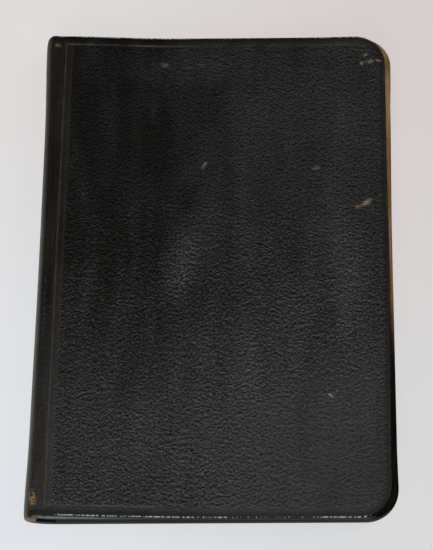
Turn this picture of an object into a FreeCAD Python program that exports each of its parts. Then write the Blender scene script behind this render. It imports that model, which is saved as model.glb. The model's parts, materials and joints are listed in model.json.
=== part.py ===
"""A small leather-bound prayer book, closed and lying on its back cover.

+X runs from the spine to the fore-edge, +Y from the tail to the head, +Z up.
The origin is the middle of the book's box, on the underside of the back cover.
The rear half is built first. The front half is its mirror image in the leaf plane
at mid-thickness, which slopes a little because the book is thinner at the fore-edge.
"""
import FreeCAD, Part
import math
import os

Vector = FreeCAD.Vector

# Covers (millimetres, degrees)
cover_height = 140.0
cover_width = 92.4
book_thickness = 12.5
wedge_angle = 1.25
cover_lean = 1.6
corner_radius = 9.0
board_thickness = 1.0
cover_leather_thickness = 0.6
turn_in_thickness = 0.3
turn_in_width = 7.0
edge_rounding = 0.25

# Spine, from the outside in
spine_depth = 6.0
spine_leather_thickness = 0.7
lining_thickness = 0.3
mull_thickness = 0.25
tape_thickness = 0.25

# Leaves
end_square = 0.4
fore_square = 0.15
sections_per_half = 6
flyleaf_thickness = 0.2
flyleaf_setback = 3.0
middle_leaves_thickness = 0.3

# Sewing
tape_count = 3
tape_width = 8.0
tape_spacing = 40.0
thread_radius = 0.12
thread_inset = 0.45
thread_end_margin = 8.0

# Clearances
hinge_clearance = 0.15
leaf_gap = 0.05
fit_gap = 0.05
layer_margin = 0.3

# Places that follow from the sizes above
overall_width = spine_depth + cover_width + cover_lean
spine_face_x = -overall_width / 2
front_joint_x = spine_face_x + spine_depth
rear_joint_x = front_joint_x + cover_lean
middle_joint_x = (front_joint_x + rear_joint_x) / 2
middle_z = book_thickness / 2
half_height = cover_height / 2
text_half_height = half_height - end_square
leaf_corner_radius = corner_radius - end_square
cover_thickness = cover_leather_thickness + board_thickness + turn_in_thickness
flyleaf_bottom = cover_thickness + leaf_gap
sections_bottom = flyleaf_bottom + flyleaf_thickness + leaf_gap
mull_inset = spine_leather_thickness + lining_thickness
tape_inset = mull_inset + mull_thickness
text_inset = tape_inset + tape_thickness
opening_axis_x = spine_face_x - hinge_clearance
leaf_slope = math.tan(math.radians(wedge_angle / 2))
reach = overall_width + cover_height


def leaf_plane_z(x):
    """Height of the plane where the book opens at its middle."""
    return middle_z - leaf_slope * (x - opening_axis_x)


def block(x_range, y_range, z_range):
    corner = Vector(x_range[0], y_range[0], z_range[0])
    return Part.makeBox(x_range[1] - x_range[0], y_range[1] - y_range[0], z_range[1] - z_range[0], corner)


def rear_side(drop=leaf_gap / 2):
    """All the space behind the leaf plane, kept a hair below it."""
    top_left = Vector(opening_axis_x - reach, -reach, leaf_plane_z(opening_axis_x - reach) - drop)
    top_right = Vector(opening_axis_x + reach, -reach, leaf_plane_z(opening_axis_x + reach) - drop)
    down = Vector(0, 0, -reach)
    outline = Part.makePolygon([top_left, top_right, top_right + down, top_left + down, top_left])
    return Part.Face(outline).extrude(Vector(0, 2 * reach, 0))


def fore_edge_corners(shape):
    """The short edges that stand at the fore-edge, at the head and at the tail."""
    corners = []
    for edge in shape.Edges:
        first, last = edge.Vertexes[0].Point, edge.Vertexes[-1].Point
        if min(first.x, last.x) > 0 and abs(first.y - last.y) < fit_gap:
            corners.append(edge)
    return corners


def round_corners(shape, radius):
    return shape.makeFillet(radius, fore_edge_corners(shape))


def spine_form(joint_x, inset, y_range):
    """The rounded spine as a solid: an elliptical back that runs into a flat slab."""
    length = y_range[1] - y_range[0]
    roll = Part.makeCylinder(1.0, length, Vector(0, 0, 0), Vector(0, 1, 0))
    stretch = FreeCAD.Matrix()
    stretch.A11 = joint_x - spine_face_x - inset
    stretch.A33 = middle_z - inset
    roll = roll.transformGeometry(stretch)
    roll.translate(Vector(joint_x, y_range[0], middle_z))
    slab = block((joint_x, joint_x + reach), y_range, (inset, book_thickness - inset))
    return roll.fuse(slab)


def spine_layer(joint_x, outer_inset, inner_inset, y_range):
    """One curved layer of the spine, from the joint round to the leaf plane."""
    layer = spine_form(joint_x, outer_inset, y_range).cut(spine_form(joint_x, inner_inset, y_range))
    return layer.common(rear_side())


def left_of(shape, x):
    return shape.common(block((spine_face_x - reach, x), (-reach, reach), (-reach, reach)))


def plate(joint_x, setback, fore_inset, end_inset, z_range, radius):
    """A flat sheet from the joint to the fore-edge, inset from the cover's fore-edge and ends."""
    x_range = (joint_x + setback, joint_x + cover_width - fore_inset)
    y_range = (end_inset - half_height, half_height - end_inset)
    sheet = block(x_range, y_range, z_range)
    return round_corners(sheet, radius)


def make_board(joint_x):
    z_range = (cover_leather_thickness, cover_leather_thickness + board_thickness)
    inset = cover_leather_thickness
    return plate(joint_x, hinge_clearance, inset, inset, z_range, corner_radius - inset)


def turn_in_window(joint_x, gap):
    """The bare inside of the board, framed on three sides by the turned-in leather."""
    x_range = (joint_x + hinge_clearance, joint_x + cover_width - turn_in_width - gap)
    y_limit = half_height - turn_in_width - gap
    return block(x_range, (-y_limit, y_limit), (cover_thickness - turn_in_thickness, cover_thickness))


def rim_edges(leather):
    """The long outer edges of a cover, outside and inside, that fingers have rounded."""
    rims = []
    for edge in leather.Edges:
        box = edge.BoundBox
        on_face = box.ZMax < fit_gap or box.ZMin > cover_thickness - fit_gap
        from_middle = max(box.YMin, -box.YMax)
        on_end = from_middle > half_height - corner_radius - fit_gap
        on_fore_edge = box.XMin > leather.BoundBox.XMax - fit_gap
        if on_face and (on_end or on_fore_edge):
            rims.append(edge)
    return rims


def make_cover_leather(joint_x):
    outside = plate(joint_x, hinge_clearance, 0.0, 0.0, (0.0, cover_thickness), corner_radius)
    outside = outside.makeFillet(edge_rounding, rim_edges(outside))
    return outside.cut(make_board(joint_x)).cut(turn_in_window(joint_x, 0.0))


def make_pastedown(joint_x):
    return turn_in_window(joint_x, fit_gap)


def make_flyleaf(joint_x):
    z_range = (flyleaf_bottom, flyleaf_bottom + flyleaf_thickness)
    return plate(joint_x, flyleaf_setback, fore_square, end_square, z_range, leaf_corner_radius)


def trimmed_block(joint_x):
    """Everything the trimmed leaves can fill: round-cornered in plan, leaning with the covers."""
    bottom = plate(joint_x, 0.0, fore_square, end_square, (0.0, 1.0), leaf_corner_radius)
    outline = min(bottom.Faces, key=lambda face: face.CenterOfMass.z)
    lean = (middle_joint_x - joint_x) / middle_z * book_thickness
    solid = outline.extrude(Vector(lean, 0, book_thickness))
    y_range = (-text_half_height, text_half_height)
    shoulder = block((spine_face_x, joint_x + cover_width / 2), y_range, (0, book_thickness))
    return solid.fuse(shoulder)


def line_ends(joint_x):
    """A line between leaves is drawn from the spine face to just past the leaning fore-edge."""
    return spine_face_x, joint_x + cover_width + cover_lean


def make_leaves(joint_x, bottom_line, top_line):
    """A bundle of folded leaves between two lines, each given by its heights at both ends."""
    near_x, far_x = line_ends(joint_x)
    corners = [
        Vector(near_x, -half_height, bottom_line[0]),
        Vector(far_x, -half_height, bottom_line[1]),
        Vector(far_x, -half_height, top_line[1]),
        Vector(near_x, -half_height, top_line[0]),
    ]
    outline = Part.makePolygon(corners + corners[:1])
    bundle = Part.Face(outline).extrude(Vector(0, cover_height, 0))
    bundle = bundle.common(trimmed_block(joint_x))
    return bundle.common(spine_form(joint_x, text_inset, (-half_height, half_height)))


def section_line(joint_x, share):
    """Heights of the seam between two sections at the ends of its line."""
    drop = middle_leaves_thickness + 3 * leaf_gap / 2
    line = []
    for x in line_ends(joint_x):
        top = leaf_plane_z(x) - drop
        line.append(sections_bottom + share * (top - sections_bottom))
    return line


def thread_place(joint_x, index):
    """Centre of the fold of one section, where its sewing thread runs."""
    share = (index + 0.5) / sections_per_half
    z = section_line(joint_x, share)[0]
    across = (middle_z - z) / (middle_z - text_inset)
    back_depth = joint_x - spine_face_x - text_inset
    x = joint_x - back_depth * math.sqrt(1 - across * across) + thread_inset
    return Vector(x, 0, z)


def thread_rod(joint_x, index, radius):
    length = 2 * (text_half_height - thread_end_margin)
    centre = thread_place(joint_x, index)
    return Part.makeCylinder(radius, length, centre - Vector(0, length / 2, 0), Vector(0, 1, 0))


def make_section(joint_x, index):
    lower = section_line(joint_x, index / sections_per_half)
    upper = section_line(joint_x, (index + 1) / sections_per_half)
    channel = thread_rod(joint_x, index, thread_radius + fit_gap / 2)
    return make_leaves(joint_x, lower, upper).cut(channel)


def make_threads(joint_x):
    rods = [thread_rod(joint_x, index, thread_radius) for index in range(sections_per_half)]
    return Part.makeCompound(rods)


def make_middle_leaves(joint_x):
    """The last few leaves before the middle of the book, which fan up as it opens."""
    top = [leaf_plane_z(x) - leaf_gap / 2 for x in line_ends(joint_x)]
    bottom = [z - middle_leaves_thickness for z in top]
    return make_leaves(joint_x, bottom, top)


def make_spine_leather(joint_x):
    """The spine's leather, with the caps that turn in over the ends of the spine's linings."""
    lined_half_height = text_half_height + fit_gap
    leather = spine_form(joint_x, 0.0, (-half_height, half_height))
    leather = leather.cut(spine_form(joint_x, spine_leather_thickness, (-lined_half_height, lined_half_height)))
    leather = leather.cut(spine_form(joint_x, text_inset, (-half_height, half_height)))
    return left_of(leather.common(rear_side()), joint_x - hinge_clearance)


def make_lining(joint_x):
    layer = spine_layer(joint_x, spine_leather_thickness, mull_inset, (-text_half_height, text_half_height))
    return left_of(layer, joint_x - layer_margin)


def make_mull(joint_x):
    layer = spine_layer(joint_x, mull_inset, tape_inset, (-text_half_height, text_half_height))
    return left_of(layer, joint_x - layer_margin)


def make_tapes(joint_x):
    tapes = []
    for index in range(tape_count):
        centre_y = (index - (tape_count - 1) / 2) * tape_spacing
        y_range = (centre_y - tape_width / 2, centre_y + tape_width / 2)
        layer = spine_layer(joint_x, tape_inset, text_inset, y_range)
        tapes.append(left_of(layer, joint_x - layer_margin))
    return Part.makeCompound(tapes)


def to_front(shape):
    """Mirror a rear piece in the leaf plane."""
    angle = math.radians(wedge_angle / 2)
    normal = Vector(math.sin(angle), 0, math.cos(angle))
    return shape.mirror(Vector(opening_axis_x, 0, middle_z), normal)


def half_pieces(joint_x):
    """The pieces that both halves of the book have, built as for the rear half."""
    return {
        "board": make_board(joint_x),
        "cover_leather": make_cover_leather(joint_x),
        "pastedown": make_pastedown(joint_x),
        "flyleaf": make_flyleaf(joint_x),
        "middle_leaves": make_middle_leaves(joint_x),
        "spine_leather": make_spine_leather(joint_x),
        "spine_lining": make_lining(joint_x),
        "spine_mull": make_mull(joint_x),
        "sewing_tapes": make_tapes(joint_x),
        "sewing_threads": make_threads(joint_x),
    }


def save(name, shape):
    os.makedirs("parts", exist_ok=True)
    shape.exportStep("parts/" + name + ".step")


def build():
    for name, shape in half_pieces(rear_joint_x).items():
        save("rear_" + name, shape)
    for name, shape in half_pieces(front_joint_x).items():
        save("front_" + name, to_front(shape))
    for index in range(sections_per_half):
        save(f"section_{index + 1:02d}", make_section(rear_joint_x, index))
        front_number = 2 * sections_per_half - index
        save(f"section_{front_number:02d}", to_front(make_section(front_joint_x, index)))


build()
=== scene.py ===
"""The dressed prayer book: one worn black leather hide over boards, rounded spine,
gilt fore-edge, toned endpapers and leaves.

The hide is shaped flat, as a binder cuts it, and then wrapped. A flat place is
(out, up, deep): out from the joint towards the fore-edge (less than nothing round
the spine), up from the middle towards the head, deep in from the outer face.
"""
import bmesh
import bpy
import json
import math
from mathutils import Matrix, Vector, noise


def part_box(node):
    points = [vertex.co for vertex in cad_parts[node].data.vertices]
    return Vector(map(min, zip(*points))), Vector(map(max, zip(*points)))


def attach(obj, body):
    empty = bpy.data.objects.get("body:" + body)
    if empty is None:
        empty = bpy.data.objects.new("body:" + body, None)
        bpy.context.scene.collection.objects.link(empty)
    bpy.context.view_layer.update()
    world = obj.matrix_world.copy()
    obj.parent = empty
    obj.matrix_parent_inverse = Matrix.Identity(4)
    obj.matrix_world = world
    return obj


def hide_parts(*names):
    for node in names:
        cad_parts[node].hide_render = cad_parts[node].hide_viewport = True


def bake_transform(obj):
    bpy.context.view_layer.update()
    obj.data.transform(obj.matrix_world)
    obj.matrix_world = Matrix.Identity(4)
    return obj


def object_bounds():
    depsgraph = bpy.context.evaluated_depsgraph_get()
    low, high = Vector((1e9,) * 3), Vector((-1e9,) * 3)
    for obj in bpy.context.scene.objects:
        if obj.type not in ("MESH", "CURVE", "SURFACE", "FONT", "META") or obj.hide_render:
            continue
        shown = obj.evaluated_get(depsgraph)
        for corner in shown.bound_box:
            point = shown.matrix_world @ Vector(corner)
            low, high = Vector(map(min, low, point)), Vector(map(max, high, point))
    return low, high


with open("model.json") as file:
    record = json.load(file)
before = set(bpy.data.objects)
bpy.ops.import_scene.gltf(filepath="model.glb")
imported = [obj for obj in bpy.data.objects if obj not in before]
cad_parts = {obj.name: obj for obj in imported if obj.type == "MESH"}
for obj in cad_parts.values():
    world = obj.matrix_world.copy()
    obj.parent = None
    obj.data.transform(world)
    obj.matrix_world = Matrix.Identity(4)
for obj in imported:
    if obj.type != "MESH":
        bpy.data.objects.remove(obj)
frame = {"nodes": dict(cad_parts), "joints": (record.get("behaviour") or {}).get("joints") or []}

cad_low, cad_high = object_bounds()

MM = 0.001

# ------------------------------------------------------------------ sizes from the frame

joint_places = {joint["name"]: Vector(joint["pos_m"]) for joint in frame["joints"]}
opening_axis = joint_places["book_opening"]
rear_low, rear_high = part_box("rear_cover_leather")
front_low, front_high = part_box("front_cover_leather")
spine_face_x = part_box("rear_spine_leather")[0].x
hinge_clearance = spine_face_x - opening_axis.x
rear_joint_x = rear_low.x - hinge_clearance
cover_width = rear_high.x - rear_joint_x
cover_thickness = rear_high.z - rear_low.z
half_height = rear_high.y
middle_z = opening_axis.z
wedge = math.atan((front_high.z - front_low.z - cover_thickness) / cover_width)
flyleaf_low, flyleaf_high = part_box("rear_flyleaf")
top_leaf_low, top_leaf_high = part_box("front_flyleaf")
edge_lean = (flyleaf_high.x - top_leaf_high.x) / (top_leaf_low.z - flyleaf_high.z)
text_half_height = flyleaf_high.y
end_square = half_height - text_half_height
leaf_fore_inset = rear_high.x - flyleaf_high.x
leaf_near_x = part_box("rear_middle_leaves")[0].x
leaf_fore_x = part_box("rear_middle_leaves")[1].x
middle_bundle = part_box("rear_middle_leaves")[1].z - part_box("section_06")[1].z

# ------------------------------------------------------------------ the binder's own sizes

corner_radius = 9.0 * MM
corner_steps = 14
spine_leather = 0.7 * MM
cap_turn_in = 2.1 * MM
cap_width = 0.6 * MM
cap_step = 0.15 * MM
cap_start = 2.0 * MM, 4.5 * MM
outer_rim = 0.6 * MM
inner_rim = 0.25 * MM
frame_line_inset = 2.9 * MM
frame_line_half = 0.25 * MM
frame_line_depth = 0.08 * MM
shoulder_drop = 0.3 * MM
fillet_half = 0.3 * MM
fillet_depth = 0.12 * MM
joint_strip = 2.7 * MM
joint_cuts = [step * MM for step in (-0.8, -0.6, -0.45, -0.3, -0.15, 0, 0.15, 0.3, 0.45, 0.6, 1.0, 1.8)]
seam_out = -1.0 * MM
fold_zone = 0.5 * MM
cell = 4.0 * MM
round_step = 0.6 * MM

# paper
endpaper_margin = 5.0 * MM
endpaper_thickness = 0.015 * MM
endpaper_gap = 0.02 * MM
fold_out = 0.6 * MM
fold_steps = 10
stub_out = 2.2 * MM
leaf_bend = 22.0 * MM
leaf_step = 2.5 * MM
later_bend = 2 * MM
fit = 0.03 * MM
middle_leaf_count = 3
middle_leaf_share = 0.85
middle_bend = leaf_bend * 2.5
middle_clearance = 0.03 * MM
gutter_fold_out = 1.05 * MM
gutter_edge = 0.4 * MM
gutter_reach = 3.0 * MM
gutter_gap = 0.024 * MM
gutter_thickness = 0.008 * MM
browned_width = 14 * MM
fibre_height = 0.03 * MM
weave_height = 0.05 * MM
thread_twist = 0.6 * MM

# the grain: ridges and ripples in millimetres on the flat hide, and how high they stand
ridge_length = 0.85
ridge_pitch = 1.15
ripple_length = 0.62
ripple_pitch = 0.42
grain_height = 0.035 * MM
crease_height = 0.04 * MM

# how far use has pulled the covers and the spine out of true
front_turn = 0.004
head_lift = 0.85 * MM
head_lift_reach = 32 * MM
hollow_head = 0.16 * MM
corner_lift = 0.30 * MM
corner_lift_out = 72 * MM
tail_sag = 0.15 * MM
tail_bow = 0.45 * MM
tail_bow_length = 78 * MM
fore_bulge = 0.28 * MM
bulge_up = -10 * MM
bulge_fade = 8 * MM, 45 * MM
back_drop = 0.62 * MM
back_draw = 0.2 * MM
back_draw_rise = 10 * MM, 60 * MM
corner_spread = 0.35 * MM
corner_spread_down = 44 * MM
cap_rise = 1.75 * MM
cap_drop = 0.7 * MM
cap_flare = 0.45 * MM
flare_start = 0.8 * MM, 3.5 * MM
flare_inset = 2 * MM
spine_waist = 0.15 * MM
waist_reach = 46 * MM
head_flare = 0.22 * MM
head_flare_fade = 10 * MM
waviness = 0.05 * MM
wave_length = 22 * MM
wave_start = 2 * MM, 10 * MM
wave_rim = 6 * MM
first_leaf_out = 1.95 * MM
first_leaf_rise = 8 * MM, 60 * MM
last_leaf_out = 0.45 * MM
last_leaf_rise = 5 * MM, 58 * MM

table_glow = 0.85


def in_leaf_plane_mirror(place):
    """The mirror image of a place in the plane where the book opens."""
    normal = Vector((math.sin(wedge / 2), 0, math.cos(wedge / 2)))
    return place - 2 * normal.dot(place - opening_axis) * normal


front_joint_x = in_leaf_plane_mirror(joint_places["front_cover_opening"]).x


def spine_arc(joint_x):
    """Length of leather from a joint round to the middle of the spine."""
    across, deep = joint_x - spine_face_x, middle_z
    steps = 200
    turn = math.pi / 2 / steps
    return sum(
        turn * math.hypot(across * math.cos((step + 0.5) * turn), deep * math.sin((step + 0.5) * turn))
        for step in range(steps)
    )


rear_arc = spine_arc(rear_joint_x)
front_arc = spine_arc(front_joint_x)


# ------------------------------------------------------------------ shader expressions

class Amount:
    """A number that varies over a surface. Arithmetic on it adds Math nodes."""

    def __init__(self, finish, socket):
        self.finish = finish
        self.socket = socket

    def math(self, operation, *others):
        return self.finish.number("Math", {"operation": operation}, self, *others)

    def __add__(self, other):
        return self.math("ADD", other)

    def __sub__(self, other):
        return self.math("SUBTRACT", other)

    def __mul__(self, other):
        return self.math("MULTIPLY", other)

    def __rsub__(self, other):
        return self.finish.number("Math", {"operation": "SUBTRACT"}, other, self)

    def __abs__(self):
        return self.math("ABSOLUTE")

    __radd__ = __add__
    __rmul__ = __mul__

    def at_least(self, floor_value):
        return self.math("MAXIMUM", floor_value)

    def at_most(self, ceiling):
        return self.math("MINIMUM", ceiling)

    def rise(self, start, end):
        """0 before start, 1 after end, smooth between."""
        return self.finish.number(
            "MapRange", {"interpolation_type": "SMOOTHSTEP"}, self, start, end, 0.0, 1.0)

    def fall(self, start, end):
        return 1 - self.rise(start, end)

    def near(self, centre, reach):
        """1 at centre, 0 from reach away."""
        return abs(self - centre).fall(0.0, reach)

    def sine(self):
        return self.math("SINE")


class Finish:
    """One procedural material, grown node by node onto its shader."""

    def __init__(self, name, **constants):
        self.material = bpy.data.materials.new(name)
        self.material.use_nodes = True
        self.tree = self.material.node_tree
        self.shader = self.tree.nodes["Principled BSDF"]
        for socket, value in constants.items():
            self.shader.inputs[socket.replace("_", " ")].default_value = value

    def node(self, kind, settings, inputs):
        """Any node: its settings first, then the values or links of its sockets."""
        made = self.tree.nodes.new("ShaderNode" + kind)
        for setting, value in settings.items():
            setattr(made, setting, value)
        for socket, value in inputs.items():
            self.feed(made.inputs[socket], value)
        return made

    def feed(self, socket, value):
        if isinstance(value, Amount):
            value = value.socket
        if isinstance(value, bpy.types.NodeSocket):
            self.tree.links.new(value, socket)
        else:
            socket.default_value = value

    def number(self, kind, settings, *values):
        """A node's first output as an Amount, with its sockets given in order."""
        return Amount(self, self.node(kind, settings, dict(enumerate(values))).outputs[0])

    def vector(self, operation, *values):
        return self.node("VectorMath", {"operation": operation}, dict(enumerate(values))).outputs[0]

    def colour(self, factor, first, second):
        """Two colours mixed by factor."""
        sockets = {0: factor, 6: opaque(first), 7: opaque(second)}
        return self.node("Mix", {"data_type": "RGBA"}, sockets).outputs[2]

    def parts(self, vector):
        outputs = self.node("SeparateXYZ", {}, {0: vector}).outputs
        return [Amount(self, output) for output in outputs]

    def attribute(self, name):
        return self.node("Attribute", {"attribute_name": name}, {}).outputs["Vector"]

    def place(self):
        return self.node("TexCoord", {}, {}).outputs["Object"]

    def stretched(self, vector, across, along, through):
        return self.vector("MULTIPLY", vector, (across, along, through))

    def cloud(self, vector, scale, detail=3.0, roughness=0.5):
        """Soft noise from 0 to 1."""
        inputs = {"Vector": vector, "Scale": scale, "Detail": detail, "Roughness": roughness}
        return Amount(self, self.node("TexNoise", {}, inputs).outputs["Fac"])

    def ridges(self, vector):
        """Short level waves, one to each step up the vector, mostly from -1 to 1."""
        inputs = {"Vector": vector, "Scale": 1.0, "Frequency": 1.0, "Anisotropy": 0.8}
        waves = self.node("TexGabor", {}, {**inputs, "Orientation": math.pi / 2}).outputs["Value"]
        return (Amount(self, waves) - 0.5) * 12

    def bump(self, height, distance, strength=1.0, under=None):
        inputs = {"Height": height, "Distance": distance, "Strength": strength}
        if under is not None:
            inputs["Normal"] = under
        return self.node("Bump", {}, inputs).outputs["Normal"]

    def finish(self, colour=None, roughness=None, metallic=None, normal=None):
        varying = {"Base Color": colour, "Roughness": roughness, "Metallic": metallic, "Normal": normal}
        for socket, value in varying.items():
            if value is not None:
                self.feed(self.shader.inputs[socket], value)
        return self.material


def opaque(colour):
    return (*colour, 1.0) if isinstance(colour, tuple) and len(colour) == 3 else colour


# ------------------------------------------------------------------ leather

# Marks of use on the front cover: out, up, length, width, turn in degrees, strength.
# Places and sizes in millimetres.
grey_scuffs = [
    (28.8, 61.1, 3.4, 2.0, -20, 0.36),
    (39.5, 61.0, 2.6, 1.6, 0, 0.10),
    (40.9, 29.7, 3.2, 1.3, 60, 0.60),
    (72.5, 28.7, 3.4, 1.8, 10, 0.28),
    (88.2, 61.6, 2.6, 1.8, 20, 0.55),
    (76.1, -37.1, 2.4, 1.0, -35, 1.20),
]
pale_clouds = [
    (36.5, 2.0, 42.0, 15.0, 68, 0.43),
    (38.0, 28.0, 14.0, 8.0, 60, 0.12),
    (32.0, 60.0, 40.0, 16.0, 0, 0.22),
    (80.0, -2.0, 60.0, 11.0, 90, 0.22),
    (27.0, -45.0, 26.0, 12.0, 80, 0.15),
]
tan_scuffs = [
    (85.7, 61.0, 1.8, 1.4, 0, 0.70),
    (90.4, 61.8, 2.6, 0.7, -12, 0.85),
    (86.8, 63.6, 2.2, 1.6, 30, 0.40),
    (86.4, 18.3, 4.6, 2.2, 35, 0.75),
    (84.0, 16.9, 2.2, 1.4, 0, 0.65),
]


class OnHide:
    """Where a place lies on the flat hide, in millimetres, and the clouds that mottle it there."""

    half = half_height / MM
    width = cover_width / MM
    radius = corner_radius / MM

    def __init__(self, leather):
        self.place = leather.attribute("hide")
        self.out, self.up, self.deep = leather.parts(self.place)
        self.past_corner = (self.out - (self.width - self.radius)).at_least(0.0)
        self.past_end = (abs(self.up) - (self.half - self.radius)).at_least(0.0)
        squares = self.past_corner * self.past_corner + self.past_end * self.past_end
        self.rim = self.radius - squares.math("SQRT")
        self.to_ends = self.past_end.rise(self.radius - 4.5, self.radius - 2.5)
        self.slow = leather.cloud(self.place, 0.045, 2.0)
        self.patchy = leather.cloud(self.place, 0.16, 4.0, 0.6)
        self.fine = leather.cloud(self.place, 1.3, 4.0, 0.65)
        self.drawn = leather.cloud(leather.stretched(self.place, 1.9, 0.05, 0.5), 1.0, 3.0, 0.6)


def scuff(at, mark):
    """A soft-edged rubbed patch at one place of the hide."""
    mark_out, mark_up, length, width, turn, strength = mark
    cosine, sine = math.cos(math.radians(turn)), math.sin(math.radians(turn))
    across = (at.out - mark_out) * cosine + (at.up - mark_up) * sine
    along = (at.up - mark_up) * cosine - (at.out - mark_out) * sine
    away = (across * across * (4 / length ** 2) + along * along * (4 / width ** 2)).math("SQRT")
    return away.fall(0.1, 1.1) * strength


def grain_of(leather, at, grained):
    """Short wavering ridges that run sideways, as on a hide boarded by hand.

    Gives how far each place stands in the light, with a painted highlight along the ridges and
    painted glints where the highest points sparkle, and the height.
    """
    out, up = at.out, at.up
    waver = leather.node("TexNoise", {}, {"Vector": at.place, "Scale": 0.4, "Detail": 2.0}).outputs["Color"]
    bent = leather.vector("ADD", at.place, leather.vector("MULTIPLY", waver, (1.3, 1.1, 0.0)))
    ridge = leather.ridges(leather.stretched(bent, 1 / ridge_length, 1 / ridge_pitch, 0.0))
    ripple = leather.cloud(leather.stretched(bent, 1 / ripple_length, 1 / ripple_pitch, 0.3), 1.0, 1.0, 0.5)
    grain = ridge * 0.5 + (ripple - 0.5) * 6
    height = grain * (grained * 0.94 + 0.06)

    # crisp beside the spine and in the middle, softer towards the corner of the tail
    crisp = up.near(-10.0, 42.0) * out.fall(60.0, 140.0) + up.fall(-60.0, -20.0) * out.fall(5.0, 85.0) * 0.6
    crisp = crisp + up.near(2.0, 30.0) * out.fall(20.0, 50.0) * 0.8
    glitter = leather.cloud(leather.stretched(at.place, 1.6, 2.6, 1.0), 1.0, 2.0, 0.6).rise(0.45, 0.70)
    # a painted highlight along the ridges, and painted glints on the highest points
    crest_highlight = grain.rise(0.1, 1.9) * (glitter * 0.65 + 0.35) * (crisp + 0.32)
    grain_and_highlight = grain.rise(-2.0, 1.0) * 0.36 + crest_highlight
    soft = out.rise(40.0, 80.0) * up.fall(-50.0, -12.0) * 0.35
    grain_and_highlight = grain_and_highlight + (0.28 - grain_and_highlight) * soft
    painted_glints = (crest_highlight * glitter).rise(0.75, 1.05) * at.fine.rise(0.56, 0.62) * grained
    return grain_and_highlight, painted_glints, height


def painted_sheen_and_wear(leather, at, marked):
    """From 0, near-black at head and spine, to 1 at tail and fore-edge: painted sheen and marks of hands."""
    out, up = at.out, at.up
    streaks = leather.cloud(leather.stretched(at.place, 0.16, 0.035, 0.1), 1.0, 2.0, 0.5)
    # painted sheen: lighter towards the fore-edge and the tail, darkest at the head and spine
    sheen_and_wear = out.rise(26.0, 56.0) * 0.37 + out.rise(60.0, 86.0) * 0.20
    sheen_and_wear = sheen_and_wear + up.fall(-48.0, -4.0) * (0.62 - out.rise(50.0, 85.0) * 0.22)
    sheen_and_wear = sheen_and_wear - out.rise(50.0, 80.0) * 0.1 - out.rise(82.0, 91.0) * 0.1
    sheen_and_wear = sheen_and_wear + at.slow * 0.35 + at.patchy * 0.3 + streaks * 0.7 - 0.61
    if marked:
        for mark in pale_clouds:
            sheen_and_wear = sheen_and_wear + scuff(at, mark)
    return sheen_and_wear.at_least(0.0).at_most(1.0)


def shade_of(at):
    """The rims, which lie in their own shade: most at the fore-edge, towards the tail."""
    rim, up = at.rim, at.up
    shaded = rim.near(0.95, 0.75) * up.fall(-at.half + 3.0, -at.half + 6.0) * 0.55
    fore_rim = rim.fall(0.2, 0.7) * at.past_corner.rise(at.radius * 0.1, at.radius * 0.4)
    return shaded.at_least(rim.fall(1.0, 2.4) * 0.5).at_least(fore_rim * up.fall(-24.0, 6.0))


def wear_and_reflection(leather, at, colour):
    """Edges, caps and patches worn through to tan. Gives the new colour, and how worn each place is."""
    out, up, rim, half = at.out, at.up, at.rim, at.half
    fine, patchy = at.fine, at.patchy
    at_tail = up.fall(-half + 0.4, -half + 1.3) * at.deep.rise(0.05, 0.30)
    on_cap = out.fall(-4.0, -2.0) * up.rise(half - 0.9, half - 0.1).at_least(at_tail)
    worn_cap = on_cap * (fine * 0.6 + patchy * 0.7 + at_tail * 0.10).rise(0.48, 0.80)
    rim_wear = rim.fall(0.0, 0.75) * out.rise(0.0, 2.0) * (fine * 0.55 + patchy * 0.75).rise(0.74, 0.94)
    rim_wear = rim_wear * up.rise(-48.0, -25.0)
    spine_specks = out.near(-13.4, 1.8) * (fine * 0.75 + patchy * 0.55).rise(0.68, 0.78)
    tail_patch = scuff(at, (-16.9, -(half - 4.9), 6.0, 3.4, 80, 1.0)) * fine.rise(0.32, 0.58)
    head_patch = scuff(at, (-18.0, half - 3.3, 2.6, 1.7, 0, 1.0)) * fine.rise(0.3, 0.6)
    worn = worn_cap.at_least(rim_wear * 0.7).at_least(spine_specks * 0.6)
    worn = worn.at_least(tail_patch).at_least(head_patch * 0.75).at_most(1.0)
    tan = leather.colour(fine.rise(0.3, 0.7), (0.075, 0.042, 0.020), (0.21, 0.135, 0.075))
    colour = leather.colour(worn, colour, tan)
    colour = leather.colour(tail_patch * fine.rise(0.48, 0.62), colour, (0.33, 0.20, 0.09))

    # a painted reflection lies pale along the back of the spine, with a row of specks beside it
    spine_reflection = out.rise(-16.4, -13.0) * out.fall(-12.0, -8.0) * (up.fall(-10.0, 50.0) * 0.35 + 0.5)
    colour = leather.colour(spine_reflection * (patchy * 0.6 + 0.5), colour, (0.24, 0.225, 0.18))
    speckled = out.near(-17.5, 0.45) * up.near(-13.0, 17.0) * fine.rise(0.50, 0.60)
    return leather.colour(speckled * 0.5, colour, (0.13, 0.13, 0.12)), worn


def catch_light(leather, at, colour):
    """The fillet in the joint and the frame line, which catch the light where they are sharp."""
    fillet = at.out.near(0.0, 0.40) * at.patchy.rise(0.15, 0.6) + at.out.near(1.7, 0.6) * 0.3
    fillet = fillet * abs(at.up).fall(at.half - 3.0, at.half - 1.5)
    colour = leather.colour(fillet * 0.35, colour, (0.080, 0.068, 0.055))
    frame_line = at.rim.near(frame_line_inset / MM, 0.4) * at.out.rise(0.0, 1.5) * at.to_ends
    sharp = (at.patchy * 0.8 + at.slow * 0.5).rise(0.45, 0.8) * (at.out.fall(22.0, 36.0) * 0.6 + 0.28)
    return leather.colour(frame_line * sharp, colour, (0.085, 0.082, 0.078))


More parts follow.
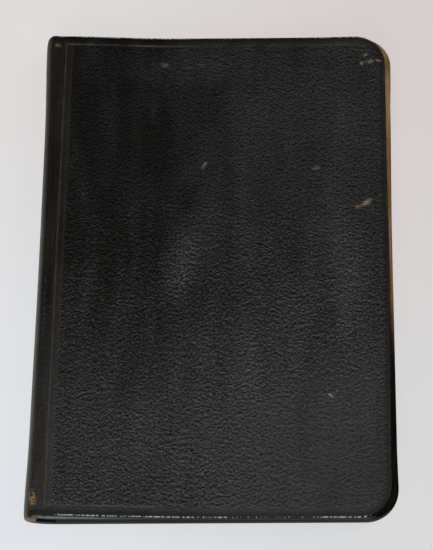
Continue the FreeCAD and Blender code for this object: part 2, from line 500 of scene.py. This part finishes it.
def nicks_and_glints_of(leather, at):
    """A row of small cuts along the tail edge, thicker near spine and corner, with a painted highlight."""
    nicks = leather.cloud(leather.stretched(at.place, 1.5, 0.5, 0.5), 1.0, 3.0, 0.75)
    round_corner = at.width - at.radius
    on_edge = at.rim.near(0.32, 0.26) * at.out.rise(2.4, 3.6)
    on_edge = on_edge * at.out.fall(round_corner + 1.0, round_corner + 5.0)
    often = at.out.fall(30.0, 52.0) * 0.11 + at.out.rise(69.0, 74.0) * 0.08
    return on_edge * (nicks + often + at.patchy * 0.3 - 0.15).rise(0.55, 0.63)


def lighter_tail_rim_of(at):
    """A lighter grey on the tail rim of the back cover, and a little of it on the tail cap."""
    lighter_rim = at.rim.fall(1.2, 1.6) * at.deep.rise(0.3, 0.6) * at.up.fall(-at.half + 0.5, -at.half + 5.0)
    return (lighter_rim * (at.fine * 0.8 + 0.5) * (at.out.rise(-9.0, -6.0) * 0.8 + 0.2)).at_most(1.0)


def covering_leather(name, marked):
    """Black pebble-grained leather, rubbed brown at its folds and tan where it is worn through.

    It reads the flat place on the hide, so the grain follows the leather round the spine and
    over the joints. Only the front cover is marked with the scuffs and the cuts of its use.
    """
    leather = Finish(name, Specular_IOR_Level=0.05)
    at = OnHide(leather)
    fine, patchy, drawn = at.fine, at.patchy, at.drawn

    # where the tools and the fingers have pressed the grain flat
    on_joint = (abs(at.out) + patchy * 0.8 - 0.4).fall(0.7, 2.1)
    on_spine = at.out.fall(-1.2, 0.0)
    on_border = (at.rim + patchy * 1.2 - 0.6).fall(1.6, 3.2) * at.to_ends
    on_border = on_border.at_least(at.rim.fall(0.5, 1.5))
    smooth = on_joint.at_least(on_spine * 0.6).at_least(on_border * 0.8)
    grain_and_highlight, painted_glints, height = grain_of(leather, at, 1 - smooth)

    sheen_and_wear = painted_sheen_and_wear(leather, at, marked)
    tone = grain_and_highlight * (1 - smooth) + smooth * (fine * 0.6 + 0.03)
    # the dark and the light of the grain both take the painted sheen
    pits = leather.colour(sheen_and_wear, (0.0008, 0.0007, 0.0005), (0.0065, 0.0064, 0.0062))
    crests = leather.colour(sheen_and_wear, (0.0172, 0.0162, 0.0146), (0.0980, 0.0965, 0.0945))
    colour = leather.colour(tone, pits, crests)
    # painted glints on the grain
    colour = leather.colour(painted_glints * 0.7, colour, (0.15, 0.15, 0.15))
    brown_joint = on_joint * drawn.rise(0.42, 0.66) * at.up.rise(-45.0, -10.0) * 0.55
    brown = brown_joint.at_least(on_spine * drawn.rise(0.38, 0.7) * 0.6)
    colour = leather.colour(brown, colour, (0.024, 0.0145, 0.0085))
    shaded = shade_of(at)
    colour = leather.colour(shaded, colour, (0.0016, 0.0013, 0.0010))
    colour, worn = wear_and_reflection(leather, at, colour)
    colour = catch_light(leather, at, colour)
    nicks_and_glints = nicks_and_glints_of(leather, at)

    if marked:
        # the cuts painted bright, as a highlight
        colour = leather.colour(nicks_and_glints * 0.9, colour, (0.40, 0.41, 0.43))
        rubbed = (fine * 0.8 + grain_and_highlight * 0.4).rise(0.22, 0.6)
        for marks, tone_of_mark in ((grey_scuffs, (0.19, 0.185, 0.175)), (tan_scuffs, (0.22, 0.165, 0.115))):
            for mark in marks:
                colour = leather.colour(scuff(at, mark) * rubbed, colour, tone_of_mark)
    else:
        colour = leather.colour(lighter_tail_rim_of(at), colour, (0.044, 0.043, 0.036))

    dull = (fine * 0.12 + patchy * 0.12 + 0.38 + smooth * 0.04).at_least(worn * 0.75).at_least(shaded * 1.2)
    pressed = leather.bump(height, grain_height, 1.0)
    creased = leather.bump(fine * 0.6 + nicks_and_glints * 0.8 + drawn * smooth, crease_height, 0.8, under=pressed)
    return leather.finish(colour=colour, roughness=dull, normal=creased)


# ------------------------------------------------------------------ paper, cloth, board and thread

def leaf_paper(name, light, dark, foxing, leaves_per_mm, rest=None):
    """Cream leaves, browned and foxed on their faces, gilt at the fore-edge and blue-grey at the ends.

    The gilt is painted lit towards the head and painted in dark shade towards the tail. The blue-grey of
    the ends is darker beside the back cover, fades away from the spine and is painted in near-black
    shade towards the fore-edge. A leaf laid by this script reads where it lies at rest from an attribute,
    and a CAD part its own place.
    """
    paper = Finish(name, Specular_IOR_Level=0.0)
    place = paper.attribute(rest) if rest else paper.place()
    across, along, above = paper.parts(place)
    leaves = paper.cloud(paper.stretched(place, 60.0, 60.0, leaves_per_mm / MM), 1.0, 2.0, 0.6)
    blotch = paper.cloud(place, 180.0, 4.0, 0.6)
    fibres = paper.cloud(paper.stretched(place, 900.0, 2600.0, 900.0), 1.0, 3.0, 0.7)

    # how far in from the rim of the leaves, which lean as the book does
    radius = corner_radius - end_square
    fore_edge = flyleaf_high.x - (above - flyleaf_high.z) * edge_lean
    past_corner = (across - fore_edge + radius).at_least(0.0)
    past_end = (abs(along) - (text_half_height - radius)).at_least(0.0)
    rim = radius - (past_corner * past_corner + past_end * past_end).math("SQRT")
    on_fore_edge = rim.fall(0.34 * MM, 0.42 * MM) * past_corner.rise(radius * 0.45, radius * 0.75)
    on_end = (rim - past_corner * 0.06).fall(0.05 * MM, 0.12 * MM)
    on_cut = on_fore_edge.at_least(on_end)

    to_edge = abs(along).rise(half_height - 1.4 * browned_width, half_height) * 0.7
    to_fore_edge = across.rise(rear_high.x - browned_width, rear_high.x) * 0.7
    browned = (to_edge.at_least(to_fore_edge) + blotch * 0.45 - 0.1).at_least(0.0).at_most(1.0)
    spots = paper.cloud(place, 420.0, 2.0, 0.5).rise(0.70, 0.76) * foxing
    face = paper.colour(spots, paper.colour(browned, light, dark), (0.30, 0.19, 0.09))

    # painted light on the gilt: lit gold towards the head, painted dark shade towards the tail
    lit_gold = paper.colour(leaves.rise(0.3, 0.7), (0.115, 0.066, 0.024), (0.245, 0.150, 0.062))
    shaded_gold = paper.colour(leaves.rise(0.3, 0.7), (0.0030, 0.0026, 0.0016), (0.0110, 0.0086, 0.0052))
    gilt_lit = (along + blotch * (10 * MM)).rise(-22 * MM, 4 * MM)
    gold = paper.colour(gilt_lit, shaded_gold, lit_gold)
    teal = paper.colour(leaves.rise(0.3, 0.7), (0.085, 0.130, 0.140), (0.215, 0.285, 0.295))
    grey = paper.colour(leaves.rise(0.3, 0.7), (0.030, 0.034, 0.036), (0.105, 0.112, 0.112))
    faded = (across + blotch * (12.0 * MM)).rise(-28.0 * MM, -6.0 * MM)
    ends = paper.colour(faded, teal, grey)
    beside_back_cover = (above + blotch * (1.5 * MM)).fall(3.2 * MM, 6.0 * MM)
    ends = paper.colour(beside_back_cover * 0.85, ends, (0.030, 0.033, 0.031))
    # painted shade: the ends go near-black towards the fore-edge
    ends = paper.colour(past_corner.rise(0.5 * MM, 4 * MM), ends, (0.004, 0.004, 0.003))

    colour = paper.colour(on_fore_edge, paper.colour(on_end, face, ends), gold)
    texture = leaves * on_cut + fibres * (1 - on_cut)
    rough = 0.78 - on_fore_edge * 0.28 + blotch * 0.1
    gilt = on_fore_edge * gilt_lit * 0.35
    uneven = paper.bump(texture, fibre_height, 0.7)
    return paper.finish(colour=colour, roughness=rough, metallic=gilt, normal=uneven)


def pulp_board():
    board = Finish("pulp_board")
    place = board.place()
    flecks = board.cloud(place, 2400.0, 4.0, 0.7)
    colour = board.colour(flecks.rise(0.3, 0.75), (0.20, 0.155, 0.10), (0.42, 0.35, 0.26))
    uneven = board.bump(flecks, 2 * fibre_height)
    return board.finish(colour=colour, roughness=flecks * 0.1 + 0.82, normal=uneven)


def kraft_lining():
    lining = Finish("kraft_lining")
    place = lining.place()
    fibres = lining.cloud(lining.stretched(place, 500.0, 2200.0, 500.0), 1.0, 4.0, 0.7)
    colour = lining.colour(fibres.rise(0.25, 0.8), (0.155, 0.095, 0.045), (0.33, 0.22, 0.12))
    uneven = lining.bump(fibres, fibre_height)
    return lining.finish(colour=colour, roughness=fibres * 0.1 + 0.8, normal=uneven)


def woven_cloth(name, threads_per_mm, light, dark):
    """Plain-woven cotton or linen."""
    cloth = Finish(name)
    place = cloth.place()
    across, along, through = cloth.parts(place)
    turns = 2 * math.pi * threads_per_mm / MM
    warp = ((across + through) * turns).sine()
    weft = (along * turns).sine()
    weave = warp * weft * 0.5 + 0.5
    fuzz = cloth.cloud(place, 3500.0, 3.0, 0.7)
    colour = cloth.colour((weave * 0.6 + fuzz * 0.5).at_most(1.0), dark, light)
    return cloth.finish(colour=colour, roughness=fuzz * 0.1 + 0.85, normal=cloth.bump(weave, weave_height))


def waxed_thread():
    thread = Finish("waxed_thread")
    across, along, through = thread.parts(thread.place())
    strands = along * (2 * math.pi / thread_twist) + (across + through) * (9 / MM)
    twist = strands.sine() * 0.5 + 0.5
    colour = thread.colour(twist, (0.36, 0.31, 0.22), (0.66, 0.60, 0.47))
    return thread.finish(colour=colour, roughness=twist * 0.1 + 0.6, normal=thread.bump(twist, fibre_height))


def pale_table():
    """The pale surface the book lies on: warmer beyond the head, a little darker to the right.

    Seen by the camera or in a gloss it partly glows in its own colour, so the shadow on it stays faint.
    """
    table = Finish("pale_table", Roughness=0.9, Specular_IOR_Level=0.1)
    across, along, _ = table.parts(table.place())
    down = along.fall(cad_low.y, cad_high.y)
    left = table.colour(down, (0.745, 0.720, 0.712), (0.770, 0.800, 0.835))
    right = table.colour(down, (0.680, 0.622, 0.608), (0.690, 0.692, 0.698))
    colour = table.colour(across.rise(cad_low.x * 1.2, cad_high.x * 1.3), left, right)
    material = table.finish(colour=colour)
    glow = table.node("Emission", {}, {"Color": colour, "Strength": 1.0}).outputs[0]
    rays = table.node("LightPath", {}, {}).outputs
    seen = Amount(table, rays["Is Camera Ray"]).at_least(Amount(table, rays["Is Glossy Ray"]))
    both = table.node("MixShader", {}, {0: seen * table_glow, 1: table.shader.outputs[0], 2: glow}).outputs[0]
    table.feed(table.tree.nodes["Material Output"].inputs["Surface"], both)
    return material


# ------------------------------------------------------------------ the hide

def only(items, kind):
    return [item for item in items if isinstance(item, kind)]


def cut(blank, axis, places):
    """Cuts the blank straight across at each place along one axis."""
    for place in places:
        point = Vector((0, 0, 0))
        point[axis] = place
        normal = Vector((0, 0, 0))
        normal[axis] = 1
        everything = blank.verts[:] + blank.edges[:] + blank.faces[:]
        bmesh.ops.bisect_plane(blank, geom=everything, dist=1e-7, plane_co=point, plane_no=normal)


def even_places(start, end, step):
    count = max(1, round((end - start) / step))
    return [start + (end - start) * index / count for index in range(1, count)]


def cut_off(blank, near):
    """Trims the blank at its near end and closes the cut."""
    everything = blank.verts[:] + blank.edges[:] + blank.faces[:]
    bmesh.ops.bisect_plane(
        blank, geom=everything, dist=1e-7, plane_co=(near, 0, 0), plane_no=(1, 0, 0), clear_inner=True)
    open_edges = [edge for edge in blank.edges if edge.is_boundary]
    bmesh.ops.holes_fill(blank, edges=open_edges, sides=0)


def outer_face(blank):
    return min(blank.faces, key=lambda face: (round(face.calc_center_median().z, 7), -face.calc_area()))


def rounded_slab(near, far, low, high, half, radius):
    """A flat closed slab with its two fore-edge corners rounded."""
    blank = bmesh.new()
    outline = [(near, -half), (far, -half), (far, half), (near, half)]
    corners = [blank.verts.new((out, up, low)) for out, up in outline]
    blank.faces.new(corners)
    bmesh.ops.bevel(
        blank, geom=corners[1:3], offset=radius, offset_type="OFFSET", segments=corner_steps,
        profile=0.5, affect="VERTICES", material=-1)
    grown = bmesh.ops.extrude_face_region(blank, geom=blank.faces[:], use_keep_orig=True)["geom"]
    bmesh.ops.translate(blank, verts=only(grown, bmesh.types.BMVert), vec=(0, 0, high - low))
    bmesh.ops.recalc_face_normals(blank, faces=blank.faces[:])
    return blank


def leather_blank(near):
    """A flat closed hide, from near to the fore-edge.

    Its rims are rounded, and it is cut into loops round its border and strips along the joint.
    """
    spare = 8 * MM
    blank = rounded_slab(near - spare, cover_width, 0, cover_thickness, half_height, corner_radius)
    for level, radius, steps in ((0.0, outer_rim, 4), (cover_thickness, inner_rim, 2)):
        rims = [
            edge for edge in blank.edges
            if all(abs(vert.co.z - level) < 1e-6 for vert in edge.verts)
            and max(vert.co.x for vert in edge.verts) > near - spare / 2
        ]
        bmesh.ops.bevel(
            blank, geom=rims, offset=radius, offset_type="OFFSET", segments=steps,
            profile=0.5, affect="EDGES", material=-1)
    line_start = frame_line_inset - frame_line_half
    borders = even_places(outer_rim, line_start, round_step) + [line_start, frame_line_inset]
    borders += [frame_line_inset + frame_line_half, frame_line_inset + 3 * frame_line_half]
    reached = outer_rim
    for border in borders:
        bmesh.ops.inset_region(
            blank, faces=[outer_face(blank)], thickness=border - reached, use_boundary=True,
            use_even_offset=True)
        reached = border
    cut_off(blank, near)
    cut(blank, 0, joint_cuts + [joint_strip] + even_places(joint_strip, cover_width, cell))
    return blank


def from_rim(out, up):
    """Distance in from the edge of the cover, no more than the corner's radius."""
    past_corner = max(out - (cover_width - corner_radius), 0)
    past_end = max(abs(up) - (half_height - corner_radius), 0)
    return corner_radius - math.hypot(past_corner, past_end)


def soft_step(value, start, end):
    share = min(max((value - start) / (end - start), 0), 1)
    return share * share * (3 - 2 * share)


def relief(out, up):
    """How far the outer face is pressed or worn in: sloped border, frame line, fillet, waves.

    The spine swells a little towards its two caps and has a waist between them.
    """
    rim = from_rim(out, up)
    slope = max(1 - rim / frame_line_inset, 0)
    pressed = shoulder_drop * slope * slope
    at_ends = 0.3 + 0.7 * soft_step(abs(up), half_height - corner_radius, half_height - corner_radius / 2)
    pressed += at_ends * frame_line_depth * max(1 - abs(rim - frame_line_inset) / frame_line_half, 0)
    pressed += fillet_depth * max(1 - abs(out) / fillet_half, 0)
    wave = noise.noise(Vector((out, up, 0)) / wave_length)
    on_board = soft_step(out, *wave_start) * soft_step(rim, 0, wave_rim)
    pressed += waviness * (wave + 0.4) * on_board

    flared = cap_flare * soft_step(abs(up), waist_reach, half_height - flare_inset)
    flared -= spine_waist * (1 - soft_step(abs(up), 0, waist_reach))
    flared += head_flare * soft_step(up, waist_reach - head_flare_fade, waist_reach + head_flare_fade)
    from_joint = min(-out, out + rear_arc + front_arc)
    return pressed - flared * soft_step(from_joint, *flare_start)


def hide_depth(out, up, deep):
    """The flat blank is as deep as a cover. Round the spine it is pared down, with a turned-in cap."""
    if deep < cover_thickness / 2:
        return deep + relief(out, up) * max(1 - deep / (cover_thickness / 2), 0)
    limit = cover_thickness
    if out < -hinge_clearance:
        limit = spine_leather
        if abs(up) > half_height - cap_width:
            limit += cap_turn_in * soft_step(out + rear_arc + front_arc, *cap_start)
    return limit - (cover_thickness - deep)


def round_spine(joint_x, out, deep):
    """A flat place to the left of the joint, wrapped round the elliptical back of one half."""
    across, back = joint_x - spine_face_x, middle_z
    turn = -out / spine_arc_of[joint_x] * math.pi / 2
    outward = Vector((-math.sin(turn) / across, 0, -math.cos(turn) / back)).normalized()
    skin = Vector((joint_x - across * math.sin(turn), 0, back - back * math.cos(turn)))
    return skin - outward * deep


spine_arc_of = {rear_joint_x: rear_arc, front_joint_x: front_arc}


def wrapped(joint_x, out, up, deep):
    """A flat place, wrapped on the rear half of a book whose joint is at joint_x."""
    if out < 0:
        place = round_spine(joint_x, out, deep)
        return Vector((place.x, up, place.z))
    return Vector((joint_x + out, up, deep))


def front_pull(out, up):
    """Where use has dragged a place of the front cover, within its own plane."""
    share = min(max(out / cover_width, 0), 1)
    lift = head_lift * (1 - soft_step(out, 0, head_lift_reach)) - hollow_head * math.sin(math.pi * share)
    lift += corner_lift * soft_step(out, corner_lift_out, cover_width)
    sag = tail_sag + tail_bow * math.sin(math.pi * min(max(out / tail_bow_length, 0), 1))
    bulge = fore_bulge * (0.75 - soft_step(abs(up - bulge_up), *bulge_fade))
    moved = up - front_turn * max(out, 0)
    moved += lift * soft_step(up, 0, half_height) - sag * soft_step(-up, 0, half_height)
    return out + share * (front_turn * up + bulge), moved


def back_pull(out, up):
    """Where use has dragged a place of the back cover and the spine."""
    head = soft_step(up, 0, half_height)
    tail = soft_step(-up, 0, half_height)
    if out >= 0:
        share = out / cover_width
        drawn_in = back_draw * (1 + soft_step(up, *back_draw_rise))
        drawn_in -= corner_spread * soft_step(-up, corner_spread_down, half_height)
        return out - share * drawn_in, up - tail * back_drop * (1 - share)
    round_share = min(-out / (rear_arc + front_arc), 1)
    to_middle, past_middle = soft_step(round_share, 0, 0.5), soft_step(round_share, 0.58, 1)
    rise = cap_rise * to_middle - (cap_rise - head_lift) * soft_step(round_share, 0.74, 0.94)
    drop = back_drop + (cap_drop - back_drop) * to_middle - (cap_drop - tail_sag) * past_middle
    return out, up + rise * head - drop * tail


def front_place(out, up, deep):
    moved_out, moved_up = front_pull(out, up)
    return in_leaf_plane_mirror(wrapped(front_joint_x, moved_out, moved_up, hide_depth(out, up, deep)))


def back_place(out, up, deep):
    """The back hide runs on past the middle of the spine and up to the front joint."""
    depth = hide_depth(out, up, deep)
    moved_out, moved_up = back_pull(out, up)
    if out < -rear_arc:
        from_front_joint = -front_arc - (out + rear_arc)
        return in_leaf_plane_mirror(wrapped(front_joint_x, from_front_joint, moved_up, depth))
    return wrapped(rear_joint_x, moved_out, moved_up, depth)


def finished_mesh(shape, name, finish):
    """A bmesh as an object at the origin, smooth, with creases left sharp where it turns sharply."""
    mesh = bpy.data.meshes.new(name)
    shape.to_mesh(mesh)
    shape.free()
    mesh.shade_smooth()
    mesh.set_sharp_from_angle(angle=math.radians(50))
    mesh.materials.append(finish)
    piece = bpy.data.objects.new(name, mesh)
    bpy.context.scene.collection.objects.link(piece)
    return piece


def lay_hide(blank, name, finish, place_of, turned_over):
    """Moves a flat blank to its place on the book and keeps its flat places for the grain."""
    flat = blank.verts.layers.float_vector.new("hide")
    for vert in blank.verts:
        out, up, deep = vert.co
        vert[flat] = vert.co / MM
        vert.co = place_of(out, up, deep)
    if turned_over:
        bmesh.ops.reverse_faces(blank, faces=blank.faces[:])
    return finished_mesh(blank, name, finish)


def front_hide(finish):
    """Leather of the front cover, with the strip in the front joint cut into narrow bands."""
    blank = leather_blank(seam_out)
    cut(blank, 1, even_places(-half_height, half_height, cell))
    piece = lay_hide(blank, "front_leather", finish, front_place, True)
    joint = front_place(0, 0, 0)
    bend = Vector((1, 0, 0))
    start = joint + bend * joint_cuts[0]
    joint + bend * fold_zone
    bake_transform(piece)
    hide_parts("front_cover_leather")


def back_hide(finish):
    """Leather of the back cover and of the whole spine, up to the front joint."""
    near = -rear_arc - front_arc - seam_out
    blank = leather_blank(near)
    cut(blank, 0, even_places(-rear_arc + fold_zone, joint_cuts[0], round_step))
    cut(blank, 0, even_places(-rear_arc - fold_zone, -rear_arc + fold_zone, fold_zone / 6))
    cut(blank, 0, even_places(near, -rear_arc - fold_zone, round_step))
    cut(blank, 1, even_places(-half_height, half_height, cell))
    cap_insets = cap_width, cap_width + cap_step
    cut(blank, 1, [side * (half_height - inset) for side in (-1, 1) for inset in cap_insets])
    piece = lay_hide(blank, "back_and_spine_leather", finish, back_place, False)
    middle = back_place(-rear_arc, 0, 0)
    up = Vector((0, 0, 1))
    middle - up * fold_zone
    middle + up * fold_zone
    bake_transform(piece)
    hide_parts("rear_cover_leather", "rear_spine_leather", "front_spine_leather")


# ------------------------------------------------------------------ leaves and endpapers

def sheet_blank(near, far, low, high, half, radius):
    """A flat sheet of paper, cut into strips across so that it can bend."""
    blank = rounded_slab(near, far, low, high, half, radius)
    cut(blank, 0, even_places(near, far, leaf_step))
    return blank


def folded_blank(far, fold, other_far, middle, gap, thickness, half):
    """A folded paper: one leaf from far to the fold, round it, and back out to other_far.

    The first leaf lies below middle and the other above it, both half a gap away.
    """
    blank = bmesh.new()
    low, high = middle - gap / 2 - thickness, middle - gap / 2
    ring = [(far, -half, low), (far, half, low), (far, half, high), (far, -half, high)]
    end = blank.faces.new([blank.verts.new(place) for place in ring])
    first = bmesh.ops.extrude_face_region(blank, geom=[end], use_keep_orig=True)["geom"]
    bmesh.ops.translate(blank, verts=only(first, bmesh.types.BMVert), vec=(fold - far, 0, 0))
    turned = bmesh.ops.spin(
        blank, geom=only(first, bmesh.types.BMFace), cent=(fold, 0, middle), axis=(0, 1, 0),
        angle=math.pi, steps=fold_steps, use_merge=False)["geom_last"]
    last = bmesh.ops.extrude_face_region(blank, geom=only(turned, bmesh.types.BMFace))["geom"]
    bmesh.ops.translate(blank, verts=only(last, bmesh.types.BMVert), vec=(other_far - fold, 0, 0))
    bmesh.ops.recalc_face_normals(blank, faces=blank.faces[:])
    return blank


def lay_paper(blank, name, finish, place_of, turned_over):
    """Moves a flat sheet to its place in the book and keeps that place for its finish."""
    rest = blank.verts.layers.float_vector.new("rest")
    for vert in blank.verts:
        vert.co = place_of(*vert.co)
        vert[rest] = vert.co
    if turned_over:
        bmesh.ops.reverse_faces(blank, faces=blank.faces[:])
    piece = finished_mesh(blank, name, finish)
    return piece


def on_rear(out, up, deep):
    return Vector((rear_joint_x + out, up, deep))


def on_front(out, up, deep):
    return in_leaf_plane_mirror(Vector((front_joint_x + out, up, deep)))


def in_opening(out, up, above):
    """A place measured out from the opening axis along the leaf plane, and above it."""
    lean = wedge / 2
    along = Vector((math.cos(lean), 0, -math.sin(lean)))
    normal = Vector((math.sin(lean), 0, math.cos(lean)))
    return opening_axis + along * out + normal * above + Vector((0, up, 0))


def rear_pastedown(finish):
    """The paper pasted inside the back cover, over the edges of the turned-in leather."""
    far = cover_width - endpaper_margin
    half = half_height - endpaper_margin
    low = cover_thickness - endpaper_thickness
    blank = sheet_blank(fold_out, far, low, cover_thickness + endpaper_thickness, half, endpaper_margin)
    piece = lay_paper(blank, "rear_endpaper", finish, on_rear, False)
    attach(piece, "rear_half")
    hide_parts("rear_pastedown")


def front_pastedown(finish):
    """Pasted inside the front cover, and folded back in the joint onto the first leaf."""
    far = cover_width - endpaper_margin
    half = half_height - endpaper_margin
    middle = cover_thickness + endpaper_thickness + endpaper_gap / 2
    blank = folded_blank(far, fold_out, stub_out, middle, endpaper_gap, endpaper_thickness, half)
    piece = lay_paper(blank, "front_endpaper", finish, on_front, True)
    start = on_front(fold_out, 0, middle + endpaper_gap / 2)
    end = on_front(fold_out, 0, middle - endpaper_gap / 2)
    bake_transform(piece)
    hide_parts("front_pastedown")


def front_flyleaf(finish):
    """The first free leaf.

    It has worked out past the cover at the head, where its gilt edge shows.
    """
    low = flyleaf_low.z + fit
    high = flyleaf_high.z - fit
    far = cover_width - leaf_fore_inset
    blank = sheet_blank(fold_out, far, low, high, text_half_height, corner_radius - end_square)
    cut(blank, 1, even_places(-text_half_height, text_half_height, cell))

    def worked_out(out, up, deep):
        slipped = first_leaf_out * soft_step(out, stub_out, far) * soft_step(up, *first_leaf_rise)
        return on_front(out + slipped, up, deep)

    piece = lay_paper(blank, "front_free_leaf", finish, worked_out, True)
    near = on_front(stub_out, 0, low)
    bent = on_front(leaf_bend, 0, low)
    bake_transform(piece)
    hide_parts("front_flyleaf")


def rear_flyleaf(finish):
    """The last free leaf, which has worked a little way out towards the head."""
    near = flyleaf_low.x - rear_joint_x
    far = cover_width - leaf_fore_inset
    blank = sheet_blank(
        near, far, flyleaf_low.z, flyleaf_high.z, text_half_height, corner_radius - end_square)
    cut(blank, 1, even_places(-text_half_height, text_half_height, cell))

    def worked_out(out, up, deep):
        return on_rear(out + last_leaf_out * out / far * soft_step(up, *last_leaf_rise), up, deep)

    piece = lay_paper(blank, "rear_free_leaf", finish, worked_out, False)
    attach(piece, "rear_half")
    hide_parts("rear_flyleaf")


def middle_leaves(side, finish):
    """The leaves beside the opening on one half.

    The one at the opening runs on into the spine leather.
    """
    facing = -1 if side == "rear" else 1
    near = leaf_near_x - opening_axis.x
    far = leaf_fore_x - opening_axis.x
    pitch = (middle_bundle - middle_clearance) / middle_leaf_count
    for index in range(middle_leaf_count):
        nearest = middle_clearance + index * pitch
        heights = sorted((facing * nearest, facing * (nearest + pitch * middle_leaf_share)))
        starts, ends = gutter_edge if index == 0 else near, far - index * fit
        blank = sheet_blank(starts, ends, *heights, text_half_height, corner_radius - end_square)
        name = f"{side}_middle_leaf_{index + 1}"
        piece = lay_paper(blank, name, finish, in_opening, False)
        start = in_opening(near + index * later_bend, 0, 0)
        end = in_opening(middle_bend * (index + 1), 0, 0)
        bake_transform(piece)
    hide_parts(f"{side}_middle_leaves")


def gutter_fold(finish):
    """The sewn fold at the middle of the book, which joins the two halves."""
    blank = folded_blank(
        gutter_reach, gutter_fold_out, gutter_reach, 0, gutter_gap, gutter_thickness, text_half_height - fit)
    piece = lay_paper(blank, "middle_fold", finish, in_opening, False)
    start = in_opening(0, 0, -gutter_gap / 2)
    end = in_opening(0, 0, gutter_gap / 2)
    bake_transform(piece)


# ------------------------------------------------------------------ the making

leather_front = covering_leather("worn_black_leather", marked=True)
leather_back = covering_leather("worn_black_leather_back", marked=False)
endpaper_tones = (0.64, 0.58, 0.45), (0.44, 0.35, 0.22), 0.6, 9.0
leaf_tones = (0.72, 0.67, 0.55), (0.52, 0.43, 0.29), 0.35, 14.0
endpaper = leaf_paper("endpaper", *endpaper_tones)
thin_paper = leaf_paper("leaf_paper", *leaf_tones)
loose_endpaper = leaf_paper("loose_endpaper", *endpaper_tones, rest="rest")
loose_paper = leaf_paper("loose_leaf_paper", *leaf_tones, rest="rest")

node_finishes = {
    "section": thin_paper,
    "middle_leaves": thin_paper,
    "flyleaf": endpaper,
    "pastedown": endpaper,
    "board": pulp_board(),
    "spine_lining": kraft_lining(),
    "spine_mull": woven_cloth("starched_mull", 1.1, (0.60, 0.55, 0.44), (0.34, 0.29, 0.20)),
    "sewing_tapes": woven_cloth("linen_tape", 1.7, (0.64, 0.58, 0.46), (0.40, 0.34, 0.24)),
    "sewing_threads": waxed_thread(),
    "leather": leather_back,
}


def dress_nodes():
    """Gives each CAD node that still shows the finish of what it is made of."""
    for name, node in frame["nodes"].items():
        finish = next(finish for word, finish in node_finishes.items() if word in name)
        if not node.material_slots:
            node.data.materials.append(finish)
        for slot in node.material_slots:
            slot.material = finish


dress_nodes()
front_hide(leather_front)
back_hide(leather_back)
rear_pastedown(loose_endpaper)
front_pastedown(loose_endpaper)
rear_flyleaf(loose_endpaper)
front_flyleaf(loose_endpaper)
middle_leaves("rear", loose_paper)
middle_leaves("front", loose_paper)
gutter_fold(loose_paper)


# ------------------------------------------------------------------ table, light and camera

def lay_table():
    top = bmesh.new()
    bmesh.ops.create_grid(top, x_segments=4, y_segments=4, size=1.5)
    bmesh.ops.translate(top, verts=top.verts[:], vec=(0, 0, cad_low.z - 0.02 * MM))
    finished_mesh(top, "table", pale_table())


def aim(thing, towards, turn=0.0):
    """Points a camera or lamp at a place, rolled by turn."""
    forward = (towards - thing.location).normalized()
    level = forward.cross(Vector((0, 0, 1))).normalized()
    rise = level.cross(forward)
    right = level * math.cos(turn) + rise * math.sin(turn)
    top = right.cross(forward)
    turned = Matrix((right, top, -forward)).transposed().to_4x4()
    thing.matrix_world = Matrix.Translation(thing.location) @ turned


def set_camera():
    distance, azimuth, elevation, roll = 434.3 * MM, -12.76, 71.10, -12.67
    centre = (cad_low + cad_high) / 2
    target = Vector((centre.x + 0.54 * MM, centre.y - 1.6 * MM, centre.z))
    level = math.cos(math.radians(elevation))
    away = Vector((-math.sin(math.radians(azimuth)) * level, -math.cos(math.radians(azimuth)) * level,
                   math.sin(math.radians(elevation))))
    camera = bpy.data.objects.new("camera", bpy.data.cameras.new("camera"))
    camera.data.sensor_width = 36.0
    camera.data.lens = 101.5
    camera.data.clip_start = 0.01
    camera.location = target + away * distance
    bpy.context.scene.collection.objects.link(camera)
    aim(camera, target, math.radians(roll))
    bpy.context.scene.camera = camera


def hang_lamp(name, place, towards, size, watts, colour):
    lamp = bpy.data.lights.new(name, "AREA")
    lamp.shape = "DISK"
    lamp.size = size
    lamp.energy = watts
    lamp.color = colour
    hung = bpy.data.objects.new(name, lamp)
    hung.location = place
    bpy.context.scene.collection.objects.link(hung)
    aim(hung, towards)


def light_room():
    """A dim room, a soft panel overhead and two lamps, beyond the tail and to the right."""
    world = bpy.data.worlds.new("room")
    world.use_nodes = True
    backdrop = world.node_tree.nodes["Background"]
    backdrop.inputs["Color"].default_value = (0.95, 0.97, 1.0, 1.0)
    backdrop.inputs["Strength"].default_value = 0.20
    bpy.context.scene.world = world
    book = (cad_low + cad_high) / 2
    hang_lamp("overhead_panel", Vector((0.10, 0.0, 1.0)), book, 0.5, 2.2, (1.0, 0.99, 0.98))
    hang_lamp("tail_lamp", Vector((-0.15, -0.95, 0.9)), book, 0.7, 9.5, (0.97, 0.99, 1.0))
    hang_lamp("right_lamp", Vector((0.85, 0.35, 0.8)), book, 0.6, 6.0, (1.0, 0.98, 0.95))


lay_table()
light_room()
set_camera()
bpy.context.scene.view_settings.view_transform = "Standard"
